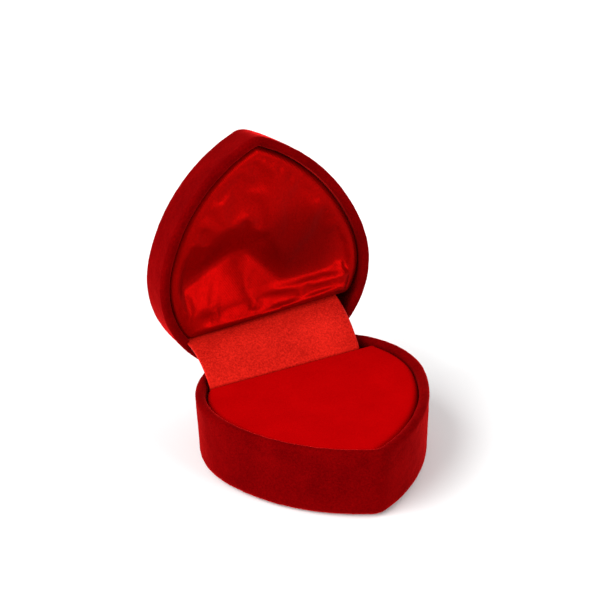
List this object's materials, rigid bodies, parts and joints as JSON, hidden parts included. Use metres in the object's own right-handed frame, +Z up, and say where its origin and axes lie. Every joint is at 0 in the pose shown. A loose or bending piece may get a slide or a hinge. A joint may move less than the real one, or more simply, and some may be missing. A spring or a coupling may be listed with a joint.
{
  "type": "jewelry gift box",
  "caption": "Small heart-shaped flocked jewelry gift box with a hinged snap lid, a velvet pad in the base and a padded satin lining in the lid, stored open",
  "frame": {"origin": "centre of the flat rest face under the base, below the line through the lobe centres of the heart", "axes": "+Z up from the rest face; the tip of the heart points to -Y and the hinge lies behind at +Y, parallel to X; X runs across the heart, left to right seen from the tip"},
  "size_m": [0.049, 0.0645, 0.0612],
  "materials": {
    "flocked_shell": "matte plastic covered with short dense red flock",
    "velvet": "short-pile red velvet",
    "lining_satin": "smooth red satin with a soft sheen",
    "ribbon_satin": "grainy red satin ribbon",
    "foam": "soft white foam and wadding",
    "card": "grey-brown card",
    "steel": "stamped steel",
    "spring_steel": "tempered spring steel"
  },
  "bodies": {
    "base": {"base_shell": "flocked_shell", "pad_board": "card", "pad_foam": "foam", "pad_velvet": "velvet", "base_hinge_leaf_left": "steel", "base_hinge_leaf_right": "steel", "hinge_pin_left": "steel", "hinge_pin_right": "steel", "snap_spring_left": "spring_steel", "snap_spring_right": "spring_steel", "hinge_ribbon": "ribbon_satin"},
    "lid": {"lid_shell": "flocked_shell", "lining_satin": "lining_satin", "lining_wadding": "foam", "lining_board": "card", "lining_riser": "foam", "lid_hinge_leaf_left": "steel", "lid_hinge_leaf_right": "steel"}
  },
  "joints": [
    {"name": "lid_hinge", "type": "hinge", "parent": "base", "child": "lid", "pos_m": [0, 0.0168, 0.0142], "axis": [1, 0, 0], "range_deg": [0, 96], "deforming": ["hinge_ribbon", "snap_spring_left", "snap_spring_right"]}
  ]
}
